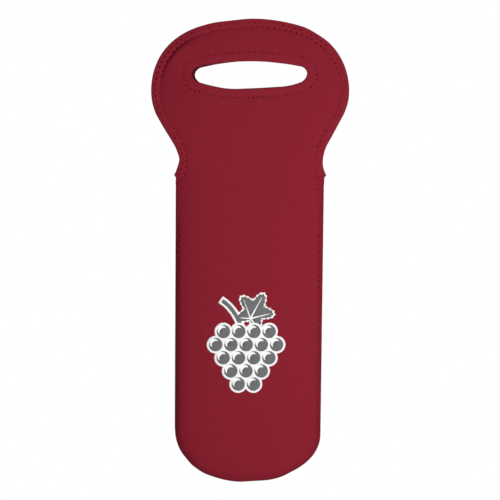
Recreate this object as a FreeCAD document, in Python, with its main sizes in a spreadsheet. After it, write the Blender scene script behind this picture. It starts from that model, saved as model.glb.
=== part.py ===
import FreeCAD, Part
import math
import os
import Sketcher

# Soft neoprene carrier for one wine bottle. Millimetres, +Z up, the front faces -Y.
# The origin is the middle of the hand slot's upper edge, where the carrier hangs.
# Names ending in _drop are measured down from the origin.

SIZES = [
    # pouch, outside widths of the flattened tube and clear depths inside it
    ("pouch_width", 129.3),
    ("base_width", 127.1),
    ("belly_gap", 20.0),
    ("mouth_gap", 11.0),
    ("pouch_length", 266.2),
    ("base_height", 42.0),
    ("belly_height", 150.0),
    ("sheet_thickness", 4.0),
    # handle outline
    ("mouth_drop", 102.2),
    ("notch_to_mouth", 14.4),
    ("notch_depth", 1.9),
    ("notch_radius", 31.5),
    ("wing_radius", 20.5),
    ("flank_angle", 30.0),
    ("cheek_radius", 43.75),
    ("handle_overhang", 21.7),
    ("crown_rise", 63.9),
    ("crown_radius", 153.0),
    # the lofted sheet that the handle outline is cut from
    ("blank_height", 170.0),
    ("blank_flare", 120.0),
    ("grip_gap", 2.2),
    ("flap_clearance", 0.4),
    ("cut_overrun", 4.0),
    # hand slot, finished opening
    ("slot_length", 100.0),
    ("slot_height", 24.2),
    ("slot_end_radius", 7.5),
    # binding tape folded over the cut edges
    ("binding_thickness", 0.8),
    ("edge_binding_width", 7.9),
    ("slot_binding_width", 8.3),
    # sewing thread
    ("stitch_pitch", 5.0),
    ("thread_width", 0.7),
    ("thread_height", 0.6),
    ("thread_end_gap", 0.55),
    ("edge_row_outer", 3.6),
    ("edge_row_inner", 7.1),
    ("slot_row", 7.5),
    ("seam_reach", 2.6),
    ("bar_tack_length", 8.0),
    ("bar_tack_width", 5.0),
    ("bar_tack_height", 0.8),
    ("bar_tack_drop", 1.0),
]

doc = FreeCAD.newDocument("bottle_carrier")
sheet = doc.addObject("Spreadsheet::Sheet", "Sizes")
for row, (alias, number) in enumerate(SIZES, start=1):
    sheet.set(f"A{row}", alias)
    sheet.set(f"B{row}", str(number))
    sheet.setAlias(f"B{row}", alias)
doc.recompute()


def size(alias):
    return float(sheet.get(alias))


# Expressions that several objects share
POUCH_HALF = "Sizes.pouch_width / 2"
BASE_HALF = "Sizes.base_width / 2"
BELLY_HALF = "(Sizes.base_width + Sizes.pouch_width) / 4"
BELLY_DEPTH = "Sizes.belly_gap / 2 + Sizes.sheet_thickness"
MOUTH_DEPTH = "Sizes.mouth_gap / 2 + Sizes.sheet_thickness"
CROWN_HALF = "Sizes.pouch_width / 2 + Sizes.handle_overhang + Sizes.blank_flare"
CROWN_DEPTH = "Sizes.grip_gap / 2 + Sizes.binding_thickness + Sizes.sheet_thickness"
MOUTH_Z = "-Sizes.mouth_drop"
TIP_Z = "-Sizes.mouth_drop - Sizes.pouch_length"
BASE_Z = TIP_Z + " + Sizes.base_height"
BELLY_Z = TIP_Z + " + Sizes.belly_height"
BLANK_Z = MOUTH_Z + " + Sizes.blank_height"
WALL = "Sizes.sheet_thickness"
TAPE = "Sizes.binding_thickness"
TACK = "Sizes.bar_tack_height"


def add(kind, label, **bindings):
    """A document object whose properties follow expressions; __ stands for a dot in a property path."""
    made = doc.addObject(kind, label)
    made.Label = label
    for path, expression in bindings.items():
        made.setExpression(path.replace("__", "."), expression)
    return made


def ellipse(label, half_width, half_depth, height, back="0"):
    return add("Part::Ellipse", label, MajorRadius=half_width, MinorRadius=half_depth,
               Placement__Base__y=back, Placement__Base__z=height)


def loft(label, sections):
    made = add("Part::Loft", label)
    made.Sections = sections
    made.Solid = True
    made.Ruled = False
    return made


def boolean(kind, label, base, tool):
    made = add(kind, label)
    made.Base = base
    made.Tool = tool
    return made


def cut(label, base, tool):
    return boolean("Part::Cut", label, base, tool)


def common(label, base, tool):
    return boolean("Part::Common", label, base, tool)


def fuse(label, base, tool):
    return boolean("Part::Fuse", label, base, tool)


def mirrored(label, source):
    """The same piece on the other side of the XZ plane."""
    made = add("Part::Mirroring", label)
    made.Source = source
    made.Normal = (0, 1, 0)
    return made


# Pouch: an oval tube on a rounded foot, split into two halves that meet edge to edge
def pouch_form(label, edge, face):
    """The tube and its foot as one solid, grown by edge in the XZ plane and by face in depth."""
    tube = loft(f"{label}_tube", [
        ellipse(f"{label}_base_section", f"{BASE_HALF} + {edge}", f"{BELLY_DEPTH} + {face}", BASE_Z),
        ellipse(f"{label}_belly_section", f"{BELLY_HALF} + {edge}", f"{BELLY_DEPTH} + {face}", BELLY_Z),
        ellipse(f"{label}_mouth_section", f"{POUCH_HALF} + {edge}", f"{MOUTH_DEPTH} + {face}", MOUTH_Z),
    ])
    foot = add("Part::Ellipsoid", f"{label}_foot", Radius1=f"Sizes.base_height + {edge}",
               Radius2=f"{BASE_HALF} + {edge}", Radius3=f"{BELLY_DEPTH} + {face}",
               Placement__Base__z=BASE_Z)
    foot.Angle1 = -90
    foot.Angle2 = 0
    return fuse(label, tube, foot)


def front_space(label, clearance):
    """Everything in front of the XZ plane, less a clearance."""
    reach = f"({CROWN_HALF}) * 2"
    return add("Part::Box", label, Length=f"{reach} * 2", Width=reach,
               Height=f"{reach} * 4", Placement__Base__x=f"-{reach}",
               Placement__Base__y=f"-{reach} - {clearance}", Placement__Base__z=f"-{reach} * 2")


# Two sheets pressed together at the seam keep the hollow two thicknesses inside the edge.
pouch_outer = pouch_form("pouch_outer", "0", "0")
pouch_inner = pouch_form("pouch_inner", f"(-2 * {WALL})", f"(-{WALL})")
pouch_shell = cut("pouch_shell", pouch_outer, pouch_inner)
front_panel = common("front_panel", pouch_shell, front_space("panel_side", "0"))
back_panel = mirrored("back_panel", front_panel)


# Handle outline, drawn once for any inset from the finished edge
def outline_sketch(label, inset):
    """Closed handle outline in the XZ plane: crown, shoulders, cheeks, flanks, notches, wings, foot line.

    The foot line lies below the mouth, so the outline cuts clear through the sheet's lower edge.
    """
    inset_mm = size(inset) if inset else 0.0
    inset_text = f" - Sizes.{inset}" if inset else ""
    grown_text = f" + Sizes.{inset}" if inset else ""
    flank = math.radians(size("flank_angle"))
    cheek = size("cheek_radius")
    notch = size("notch_radius")
    wing = size("wing_radius")
    crown = size("crown_radius")
    widest = size("pouch_width") / 2 + size("handle_overhang")
    narrow = size("pouch_width") / 2 - size("notch_depth")
    mouth_z = -size("mouth_drop")
    notch_z = mouth_z + size("notch_to_mouth")
    turn = cheek + notch
    flank_run = widest - narrow - turn * (1 - math.cos(flank))
    widest_z = notch_z + turn * math.sin(flank) + flank_run / math.tan(flank)
    crown_z = widest_z + size("crown_rise") - crown
    lift = widest_z - crown_z
    shoulder = (crown ** 2 - widest ** 2 - lift ** 2) / (2 * (crown - widest))
    spring = math.atan2(lift, widest - shoulder)
    foot_z = mouth_z - size("cut_overrun")
    dip = math.asin((notch_z - foot_z) / (wing + inset_mm))
    half_turn = math.pi

    def arc(x, z, radius, start, end):
        circle = Part.Circle(FreeCAD.Vector(x, z, 0), FreeCAD.Vector(0, 0, 1), radius)
        return Part.ArcOfCircle(circle, start, end)

    crown_arc = arc(0, crown_z, crown - inset_mm, spring, half_turn - spring)
    right = [
        arc(widest - shoulder, widest_z, shoulder - inset_mm, 0, spring),
        arc(widest - cheek, widest_z, cheek - inset_mm, -flank, 0),
        arc(narrow + notch, notch_z, notch + inset_mm, half_turn - flank, half_turn),
        arc(narrow + wing, notch_z, wing + inset_mm, half_turn, half_turn + dip),
    ]
    left = [
        arc(shoulder - widest, widest_z, shoulder - inset_mm, half_turn - spring, half_turn),
        arc(cheek - widest, widest_z, cheek - inset_mm, half_turn, half_turn + flank),
        arc(-narrow - notch, notch_z, notch + inset_mm, 0, flank),
        arc(-narrow - wing, notch_z, wing + inset_mm, -dip, 0),
    ]
    right_flank = Part.LineSegment(right[2].StartPoint, right[1].StartPoint)
    left_flank = Part.LineSegment(left[2].EndPoint, left[1].EndPoint)
    foot_line = Part.LineSegment(right[3].EndPoint, left[3].StartPoint)

    sketch = add("Sketcher::SketchObject", label)
    sketch.Placement = FreeCAD.Placement(FreeCAD.Vector(), FreeCAD.Rotation(FreeCAD.Vector(1, 0, 0), 90))
    pieces = [crown_arc, *right, *left, right_flank, left_flank, foot_line]
    crown_id, rs, rc, rn, rw, ls, lc, ln, lw, rf, lf, foot_id = sketch.addGeometry(pieces, False)
    start, end, centre = 1, 2, 3
    origin, upright = -1, -2
    for rule in (
        ("Tangent", crown_id, start, rs, end),
        ("Tangent", rs, start, rc, end),
        ("Tangent", rc, start, rf, end),
        ("Tangent", rf, start, rn, start),
        ("Tangent", rn, end, rw, start),
        ("Coincident", rw, end, foot_id, start),
        ("Tangent", crown_id, end, ls, start),
        ("Tangent", ls, end, lc, start),
        ("Tangent", lc, end, lf, end),
        ("Tangent", lf, start, ln, end),
        ("Tangent", ln, start, lw, end),
        ("Coincident", lw, start, foot_id, end),
        ("Horizontal", foot_id),
        ("PointOnObject", crown_id, centre, upright),
        ("Horizontal", rs, centre, rs, start),
        ("Horizontal", ls, centre, ls, end),
        ("Equal", rc, lc),
        ("Equal", rn, ln),
        ("Equal", rw, lw),
        ("Horizontal", rn, centre, rw, centre),
        ("Horizontal", ln, centre, lw, centre),
        ("Symmetric", rn, centre, ln, centre, upright),
        ("Symmetric", rs, start, ls, end, upright),
    ):
        sketch.addConstraint(Sketcher.Constraint(*rule))
    for name, rule, expression in (
        ("crown", ("Radius", crown_id, crown - inset_mm), "Sizes.crown_radius" + inset_text),
        ("cheek", ("Radius", rc, cheek - inset_mm), "Sizes.cheek_radius" + inset_text),
        ("notch", ("Radius", rn, notch + inset_mm), "Sizes.notch_radius" + grown_text),
        ("wing", ("Radius", rw, wing + inset_mm), "Sizes.wing_radius" + grown_text),
        ("flank", ("Angle", rf, half_turn / 2 - flank), "(90 - Sizes.flank_angle) * 1 deg"),
        ("widest", ("DistanceX", origin, start, rs, start, widest - inset_mm),
         f"{POUCH_HALF} + Sizes.handle_overhang" + inset_text),
        ("notch_x", ("DistanceX", origin, start, rn, centre, narrow + notch),
         f"{POUCH_HALF} - Sizes.notch_depth + Sizes.notch_radius"),
        ("notch_z", ("DistanceY", rn, centre, origin, start, -notch_z),
         "Sizes.mouth_drop - Sizes.notch_to_mouth"),
        ("foot_z", ("DistanceY", foot_id, start, origin, start, -foot_z),
         "Sizes.mouth_drop + Sizes.cut_overrun"),
        ("rise", ("DistanceY", crown_id, centre, rs, centre, lift),
         "Sizes.crown_radius - Sizes.crown_rise"),
    ):
        place = sketch.addConstraint(Sketcher.Constraint(*rule))
        sketch.renameConstraint(place, name)
        sketch.setExpression(f"Constraints.{name}", expression)
    return sketch


def slot_sketch(label, outset):
    """Closed slot outline: two bowed edges and two round ends, for any outset from the finished opening."""
    outset_mm = size(outset) if outset else 0.0
    outset_text = f" + Sizes.{outset}" if outset else ""
    end_radius = size("slot_end_radius")
    end_x = size("slot_length") / 2 - end_radius
    rise = size("slot_height") / 2
    bow = (end_x ** 2 + rise ** 2 - end_radius ** 2) / (2 * (rise - end_radius))
    spring = math.atan2(bow - rise, end_x)
    quarter = math.pi / 2

    def arc(x, z, radius, start, end):
        circle = Part.Circle(FreeCAD.Vector(x, z, 0), FreeCAD.Vector(0, 0, 1), radius)
        return Part.ArcOfCircle(circle, start, end)

    sketch = add("Sketcher::SketchObject", label)
    sketch.Placement = FreeCAD.Placement(FreeCAD.Vector(), FreeCAD.Rotation(FreeCAD.Vector(1, 0, 0), 90))
    top, left_end, bottom, right_end = sketch.addGeometry([
        arc(0, -bow, bow + outset_mm, spring, 2 * quarter - spring),
        arc(-end_x, -rise, end_radius + outset_mm, 2 * quarter - spring, 2 * quarter + spring),
        arc(0, bow - 2 * rise, bow + outset_mm, 2 * quarter + spring, 4 * quarter - spring),
        arc(end_x, -rise, end_radius + outset_mm, -spring, spring),
    ], False)
    start, end, centre = 1, 2, 3
    origin, upright = -1, -2
    for rule in (
        ("Tangent", right_end, end, top, start),
        ("Tangent", top, end, left_end, start),
        ("Tangent", left_end, end, bottom, start),
        ("Tangent", bottom, end, right_end, start),
        ("PointOnObject", top, centre, upright),
        ("Symmetric", right_end, centre, left_end, centre, upright),
        ("Equal", top, bottom),
    ):
        sketch.addConstraint(Sketcher.Constraint(*rule))
    end_x_text = "(Sizes.slot_length / 2 - Sizes.slot_end_radius)"
    bow_text = (f"({end_x_text} * {end_x_text} + Sizes.slot_height * Sizes.slot_height / 4"
                " - Sizes.slot_end_radius * Sizes.slot_end_radius)"
                " / (Sizes.slot_height - 2 * Sizes.slot_end_radius)")
    for name, rule, expression in (
        ("end_radius", ("Radius", right_end, end_radius + outset_mm),
         "Sizes.slot_end_radius" + outset_text),
        ("end_x", ("DistanceX", origin, start, right_end, centre, end_x), end_x_text),
        ("end_z", ("DistanceY", right_end, centre, origin, start, rise), "Sizes.slot_height / 2"),
        ("bow", ("Radius", top, bow + outset_mm), bow_text + outset_text),
    ):
        place = sketch.addConstraint(Sketcher.Constraint(*rule))
        sketch.renameConstraint(place, name)
        sketch.setExpression(f"Constraints.{name}", expression)
    return sketch


def prism(label, sketch):
    """The outline carried through the whole carrier from front to back."""
    made = add("Part::Extrusion", label, LengthFwd=f"({BELLY_DEPTH}) * 4")
    made.Base = sketch
    made.DirMode = "Normal"
    made.Solid = True
    made.Symmetric = True
    return made


# Handle flaps: a sheet that is oval at the mouth and almost flat at the crown, cut to the outline
def flap_blank(label, back, grown="0"):
    """The solid behind the flap's outer face, moved back and grown by expressions."""
    return loft(label, [
        ellipse(f"{label}_mouth_section", f"{POUCH_HALF} + {grown}", f"{MOUTH_DEPTH} + {grown}",
                MOUTH_Z, back),
        ellipse(f"{label}_crown_section", f"{CROWN_HALF} + {grown}", f"{CROWN_DEPTH} + {grown}",
                BLANK_Z, back),
    ])


flap_side = front_space("flap_side", "Sizes.flap_clearance / 2")
sheet_half = common("sheet_half", flap_blank("sheet_face", "0"), flap_side)
front_sheet = cut("front_sheet", sheet_half, flap_blank("sheet_back", WALL))
tape_half = common("tape_half", flap_blank("tape_face", "0", TAPE), flap_side)
front_tape = cut("front_tape", tape_half, flap_blank("tape_back", f"{WALL} + {TAPE}"))

edge_line = outline_sketch("edge_line", None)
edge_prism = prism("edge_prism", edge_line)
sheet_prism = prism("sheet_prism", outline_sketch("sheet_line", "binding_thickness"))
band_prism = prism("band_prism", outline_sketch("band_line", "edge_binding_width"))
slot_prism = prism("slot_prism", slot_sketch("slot_line", None))
slot_sheet_prism = prism("slot_sheet_prism", slot_sketch("slot_sheet_line", "binding_thickness"))
slot_band_prism = prism("slot_band_prism", slot_sketch("slot_band_line", "slot_binding_width"))

front_flap = cut("front_flap", common("flap_cut_to_edge", front_sheet, sheet_prism), slot_sheet_prism)
edge_band = common("edge_band", front_tape, cut("edge_ring", edge_prism, band_prism))
front_edge_binding = cut("front_edge_binding", edge_band, front_flap)
slot_band = common("slot_band", front_tape, cut("slot_ring", slot_band_prism, slot_prism))
front_slot_binding = cut("front_slot_binding", slot_band, front_flap)
back_flap = mirrored("back_flap", front_flap)
back_edge_binding = mirrored("back_edge_binding", front_edge_binding)
back_slot_binding = mirrored("back_slot_binding", front_slot_binding)


# Bar tacks: a pad of thread across the top of each side seam
def bar_tack(label, side):
    ring = cut(f"{label}_ring", pouch_form(f"{label}_face", TACK, TACK), pouch_outer)
    reach = f"({POUCH_HALF})"
    start = f"{reach} / 2" if side > 0 else f"-{reach} * 1.5"
    block = add("Part::Box", f"{label}_block", Length=reach, Width="Sizes.bar_tack_width",
                Height="Sizes.bar_tack_length", Placement__Base__x=start,
                Placement__Base__y="-Sizes.bar_tack_width / 2",
                Placement__Base__z=f"{MOUTH_Z} - Sizes.bar_tack_drop - Sizes.bar_tack_length")
    return common(label, ring, block)


left_bar_tack = bar_tack("left_bar_tack", -1)
right_bar_tack = bar_tack("right_bar_tack", 1)
doc.recompute()


# Sewing thread: each visible leg of a stitch is one solid, let half its height into what it holds
def thread_leg(points, outward):
    """A flat bar along two or three points, standing out of the cloth along outward."""
    width = size("thread_width")
    half_height = size("thread_height") / 2
    end_gap = size("thread_end_gap")
    along = (points[-1] - points[0]).normalize()
    across = along.cross(outward).normalize()
    rise = across.cross(along).normalize() * half_height
    points = [p - across * (p - points[0]).dot(across) for p in points]
    first = points[0] + (points[1] - points[0]).normalize() * end_gap
    last = points[-1] + (points[-2] - points[-1]).normalize() * end_gap
    path = [first, *points[1:-1], last]
    rim = [p + rise for p in path] + [p - rise for p in reversed(path)]
    rim = [p - across * (width / 2) for p in rim]
    return Part.Face(Part.makePolygon([*rim, rim[0]])).extrude(across * width)


def blank_axes(z):
    """Half width and half depth of the flap sheet's outer face at a height."""
    mouth_z = -size("mouth_drop")
    share = (z - mouth_z) / size("blank_height")
    mouth_half = size("pouch_width") / 2
    mouth_depth = size("mouth_gap") / 2 + size("sheet_thickness")
    crown_half = mouth_half + size("handle_overhang") + size("blank_flare")
    crown_depth = size("grip_gap") / 2 + size("binding_thickness") + size("sheet_thickness")
    return (mouth_half + (crown_half - mouth_half) * share,
            mouth_depth + (crown_depth - mouth_depth) * share)


def on_binding(point):
    """The point of the front binding's outer face in front of a point of the XZ plane."""
    half_width, half_depth = blank_axes(point.z)
    tape = size("binding_thickness")
    share = max(0.0, 1 - (point.x / (half_width + tape)) ** 2)
    return FreeCAD.Vector(point.x, -(half_depth + tape) * math.sqrt(share), point.z)


def spaced(sketch, count):
    """Points at equal steps along a sketch's edges above the mouth, and the length of those edges."""
    mouth_z = -size("mouth_drop")
    edges = [e for e in sketch.Shape.Edges if any(v.Z > mouth_z for v in e.Vertexes)]
    wire = Part.Wire(Part.__sortEdges__(edges))
    return wire.discretize(Number=count), wire.Length


FRONT = FreeCAD.Vector(0, -1, 0)
COARSE_COUNT = 90
HOLE_ASIDE_SHARE = 1 / 3
outer_line = outline_sketch("edge_row_outer_line", "edge_row_outer")
inner_line = outline_sketch("edge_row_inner_line", "edge_row_inner")
slot_row_line = slot_sketch("slot_row_line", "slot_row")
doc.recompute()


def edge_legs():
    """The zigzag along a flap's binding: legs from a hole of the outer row to one of the inner row and back."""
    run = spaced(outer_line, 2)[1]
    half_steps = 2 * round(run / size("stitch_pitch"))
    outer = spaced(outer_line, half_steps + 1)[0]
    inner = spaced(inner_line, half_steps + 1)[0]
    if (outer[0] - inner[0]).Length > (outer[0] - inner[-1]).Length:
        inner.reverse()
    rows = (outer, inner)
    lowest = -size("mouth_drop") + size("thread_width")
    holes = [on_binding(rows[step % 2][step]) for step in range(half_steps + 1)]
    holes = [hole for hole in holes if hole.z > lowest]
    return [thread_leg([a, b], FRONT) for a, b in zip(holes, holes[1:])]


def slot_legs():
    """The running stitch round a slot: one leg, then as long a step under the cloth."""
    run = spaced(slot_row_line, 2)[1]
    count = round(run / size("stitch_pitch"))
    holes = [on_binding(p) for p in spaced(slot_row_line, count + 1)[0]]
    return [thread_leg([a, b], FRONT) for a, b in zip(holes, holes[1:])]


def seam_points(count):
    """Points at equal steps down the left seam, round the foot and up the right seam, with outward normals."""
    tip_z = -size("mouth_drop") - size("pouch_length")
    base_z = tip_z + size("base_height")
    base_half = size("base_width") / 2
    mouth_half = size("pouch_width") / 2
    start_z = -size("mouth_drop") - size("bar_tack_drop") - size("bar_tack_length")
    side = Part.LineSegment(FreeCAD.Vector(-mouth_half, 0, start_z), FreeCAD.Vector(-base_half, 0, base_z))
    other = Part.LineSegment(FreeCAD.Vector(base_half, 0, base_z), FreeCAD.Vector(mouth_half, 0, start_z))
    curve = [FreeCAD.Vector(-base_half * math.cos(a), 0, base_z - size("base_height") * math.sin(a))
             for a in [math.pi * i / count for i in range(count + 1)]]
    foot = Part.BSplineCurve()
    foot.interpolate(curve)
    wire = Part.Wire([side.toShape(), foot.toShape(), other.toShape()])
    points = wire.discretize(Number=count)
    normals = []
    for before, after in zip([points[0], *points[:-1]], [*points[1:], points[-1]]):
        run = (after - before).normalize()
        normals.append(FreeCAD.Vector(run.z, 0, -run.x))
    return points, normals, wire.Length


def seam_legs():
    """The zigzag that closes the sides and foot: each leg goes over the seam from one panel to the other."""
    skin = pouch_outer.Shape.Solids[0].Shells[0]
    run = seam_points(COARSE_COUNT)[2]
    steps = 4 * round(run / size("stitch_pitch"))
    points, normals, _ = seam_points(steps + 1)
    reach = size("seam_reach")
    depth = size("belly_gap") / 2 + size("sheet_thickness")

    def seat(point):
        return skin.distToShape(Part.Vertex(point))[1][0][0]

    def hole(step, side):
        aside = FreeCAD.Vector(0, side * depth * HOLE_ASIDE_SHARE, 0)
        return seat(points[step] - normals[step] * reach + aside)

    legs = []
    for step in range(0, steps - 1, 2):
        side = -1 if step % 4 == 0 else 1
        legs.append(thread_leg([hole(step, side), seat(points[step + 1]), hole(step + 2, -side)],
                               normals[step + 1]))
    return legs


def thread_node(label, legs):
    made = doc.addObject("Part::Feature", label)
    made.Label = label
    made.Shape = Part.makeCompound(legs)
    return made


front_edge_stitching = thread_node("front_edge_stitching", edge_legs())
front_slot_stitching = thread_node("front_slot_stitching", slot_legs())
back_edge_stitching = mirrored("back_edge_stitching", front_edge_stitching)
back_slot_stitching = mirrored("back_slot_stitching", front_slot_stitching)
seam_stitching = thread_node("seam_stitching", seam_legs())
doc.recompute()

NODES = [
    front_panel, back_panel, seam_stitching, left_bar_tack, right_bar_tack,
    front_flap, front_edge_binding, front_slot_binding, front_edge_stitching, front_slot_stitching,
    back_flap, back_edge_binding, back_slot_binding, back_edge_stitching, back_slot_stitching,
]
for item in doc.Objects:
    if "Invalid" in item.State or "Error" in item.State:
        raise RuntimeError(f"{item.Label} did not compute: {item.State}")
for node in NODES:
    shape = node.Shape
    if shape.isNull() or not shape.isValid() or not shape.Solids:
        raise RuntimeError(f"{node.Label} is not a valid solid")
    box = shape.optimalBoundingBox(True, False)
    print(node.Label, len(shape.Solids), "solids", round(shape.Volume), "mm3",
          [round(v, 1) for v in (box.XMin, box.XMax, box.YMin, box.YMax, box.ZMin, box.ZMax)])
os.makedirs("parts", exist_ok=True)
for node in NODES:
    node.Shape.exportStep(f"parts/{node.Label}.step")
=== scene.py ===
import math

import bmesh
import bpy
import numpy as np
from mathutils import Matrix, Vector
from mathutils.geometry import delaunay_2d_cdt


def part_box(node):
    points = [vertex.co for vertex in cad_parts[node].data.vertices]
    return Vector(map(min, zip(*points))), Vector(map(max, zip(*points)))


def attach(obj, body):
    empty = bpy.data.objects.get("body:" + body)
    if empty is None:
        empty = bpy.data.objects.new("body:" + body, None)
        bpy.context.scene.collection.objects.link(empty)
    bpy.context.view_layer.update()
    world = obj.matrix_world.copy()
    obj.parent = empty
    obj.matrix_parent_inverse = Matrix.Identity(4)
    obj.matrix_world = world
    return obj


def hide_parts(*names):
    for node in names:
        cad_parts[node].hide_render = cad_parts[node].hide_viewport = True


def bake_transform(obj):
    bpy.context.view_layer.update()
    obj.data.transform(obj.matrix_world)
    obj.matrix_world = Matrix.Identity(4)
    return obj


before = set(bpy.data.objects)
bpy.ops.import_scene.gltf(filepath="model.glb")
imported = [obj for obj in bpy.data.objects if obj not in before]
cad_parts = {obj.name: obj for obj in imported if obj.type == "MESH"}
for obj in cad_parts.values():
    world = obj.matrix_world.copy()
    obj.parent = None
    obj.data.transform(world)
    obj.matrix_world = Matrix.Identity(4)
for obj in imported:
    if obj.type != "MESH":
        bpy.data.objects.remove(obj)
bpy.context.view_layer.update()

# Sizes are in millimetres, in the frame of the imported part. Turns of arcs are in degrees.
# Depths are measured from the plane between the two sheets.
MM = 0.001
FRONT = -1
BACK = 1
SIDE_NAMES = {FRONT: "front", BACK: "back"}

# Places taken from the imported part
PANEL_LOW, PANEL_HIGH = (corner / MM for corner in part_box("front_panel"))
TAPE_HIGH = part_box("front_edge_binding")[1] / MM
MOUTH_Z = PANEL_HIGH.z
TIP_Z = PANEL_LOW.z
CROWN_Z = TAPE_HIGH.z
MOUTH_HALF = PANEL_HIGH.x
WIDEST_HALF = TAPE_HIGH.x

# Form of a sheet of foam, its roll beside the side seams and the curl of the left shoulder
SHEET = 4.0
SEAM_GAP = 0.01
BASE_HALF = 63.55
BASE_HEIGHT = 42.0
BASE_Z = TIP_Z + BASE_HEIGHT
BELLY_DEPTH = 14.0
BELLY_RUN = 108.0
MOUTH_DEPTH = 9.5
MOUTH_EASE = 20.0
CROWN_DEPTH = 5.9
FLAP_RUN = 170.0
FLAP_FLARE = 141.7
ROUNDNESS = 3.0
ROLL = 1.5
ROLL_WIDTH = 3.0
FLAT_ROLL = -0.6
FLAT_DOWN = 38.0
FLAT_EASE = 6.0
CURL = 8.0
CURL_FROM = -36.0
CURL_RUN = 66.0
CURL_Z = -4.0
CURL_HEIGHT = 52.0

# A broad ripple of the foam, and a finer one that runs askew
BROAD_RIPPLE = 0.28
BROAD_X = 33.0
BROAD_Z = 41.0
BROAD_START_X = -0.4
BROAD_START_Z = 0.6
FINE_RIPPLE = 0.16
FINE_X = 19.0
FINE_Z = 57.0

# Arcs of the handle's edge
CROWN_RADIUS = 153.0
SHOULDER_RADIUS = 60.12
SHOULDER_X = WIDEST_HALF - SHOULDER_RADIUS
CHEEK_RADIUS = 43.75
CHEEK_X = WIDEST_HALF - CHEEK_RADIUS
WIDEST_Z = -26.76
CROWN_TURN = 73.6
FLANK_TURN = 30.0
NOTCH_RADIUS = 31.5
NOTCH_X = 94.25
NOTCH_Z = MOUTH_Z + 14.4
WING_RADIUS = 20.5
WING_Z = MOUTH_Z + 2.5

# Arcs of the hand slot, and how each flap's slot lies off its place, in the terms of slot_edge
SLOT_END_RADIUS = 7.6
SLOT_END_X = 42.4
SLOT_END_Z = -11.4
SLOT_LOW_Z = -23.7
SLOT_SHIFT = {FRONT: (-0.7, 0.0, -0.4, 0.0), BACK: (1.8, 0.4, 0.6, 0.3)}

# Tapes, and how the foam is pressed, pinched and puffed up beside them
EDGE_TAPE_WIDTH = 7.9
SLOT_TAPE_WIDTH = 8.9
EDGE_TAPE_HEIGHT = 0.55
SLOT_TAPE_HEIGHT = 0.18
TAPE_TURN = 1.3
TAPE_ROOM = 0.9
ROOM_IN = 0.6
ROOM_EASE = 0.4
EDGE_PRESS = 0.7
EDGE_RISE = 4.0
PINCH = 1.5
PINCH_STEEPER = 0.5
PINCH_AT = (-68.0, 10.0)
PINCH_REACH = 21.0
PUFF = 2.2
PUFF_UNDER = 0.2
PUFF_RISE = 1.3
PUFF_REACH = 30.0
SLOT_PRESS = 0.12
SLOT_RISE = 3.0
OUTER_LEAST = 2.2
INNER_LEAST = 0.75

# Rows of needle holes: distance from the edge, and the share of a pitch at which the first hole lies
OUTER_ROW = 3.6
INNER_ROW = 7.1
SLOT_ROW = 8.0
EDGE_ROWS = ((OUTER_ROW, 0.25), (INNER_ROW, 0.75))
SLOT_ROWS = ((SLOT_ROW, 0.5),)
STITCH_PITCH = 5.0
SLOT_PITCH = 4.3
THREAD_RADIUS = 0.2
SEAM_REACH = 5.2

# Colours, as sRGB values of 0 to 255
MAROON = (136, 33, 47)
TAPE_MAROON = (138, 34, 48)
THREAD_MAROON = (140, 35, 49)
# The lining's darker maroon: partly its own colour, partly painted shade for the gap between the flaps
LINING_SHADE_MAROON = (84, 20, 28)
SHEEN_MAROON = (170, 50, 64)
# Painted shade inside the needle holes
PAINTED_HOLE_SHADE = (36, 6, 10)
INK_GREY = (111, 113, 113)
INK_WHITE = (255, 255, 254)


def linear(colour):
    """An sRGB colour as linear RGBA."""
    return (*[c / 255 / 12.92 if c <= 10 else ((c / 255 + 0.055) / 1.055) ** 2.4 for c in colour], 1.0)


def smooth(t):
    """A rise from 0 to 1 that starts and ends softly."""
    t = np.clip(t, 0, 1)
    return t * t * (3 - 2 * t)


def near(where, at, reach):
    """A hump that is 1 at one place and dies away over its reach."""
    return np.exp(-((where - np.array(at)) ** 2).sum(-1) / reach ** 2)


# Lines in the plan, as rows of x and z

ARC_STEP = 0.25
ARC_LEAST = 4
LOOK_ASIDE = 0.4


def arc(centre_x, centre_z, radius, start, end):
    count = max(ARC_LEAST, int(abs(math.radians(end - start)) * radius / ARC_STEP))
    turns = np.radians(np.linspace(start, end, count))
    return np.column_stack([centre_x + radius * np.cos(turns), centre_z + radius * np.sin(turns)])


def handle_edge(inset=0.0):
    """The handle's edge from the left end of the mouth over the crown to the right end."""
    wing = WING_RADIUS + inset
    wing_turn = 180 + math.degrees(math.asin((NOTCH_Z - WING_Z) / wing))
    right = np.vstack([
        arc(0, CROWN_Z - CROWN_RADIUS, CROWN_RADIUS - inset, 90, CROWN_TURN),
        arc(SHOULDER_X, WIDEST_Z, SHOULDER_RADIUS - inset, CROWN_TURN, 0)[1:],
        arc(CHEEK_X, WIDEST_Z, CHEEK_RADIUS - inset, 0, -FLANK_TURN)[1:],
        arc(NOTCH_X, NOTCH_Z, NOTCH_RADIUS + inset, 180 - FLANK_TURN, 180),
        arc(NOTCH_X - NOTCH_RADIUS + WING_RADIUS, NOTCH_Z, wing, 180, wing_turn)[1:],
    ])
    left = right[::-1] * (-1, 1)
    return np.vstack([left[:-1], right])


def slot_bow(rise):
    """Radius of the arc that leaves the slot's ends and passes the centre line so far from their middle,
    and how far it turns to each side."""
    sag = rise - SLOT_END_RADIUS
    radius = (SLOT_END_X ** 2 + sag ** 2) / (2 * sag) + SLOT_END_RADIUS
    return radius, math.degrees(math.asin(SLOT_END_X / (radius - SLOT_END_RADIUS)))


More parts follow.
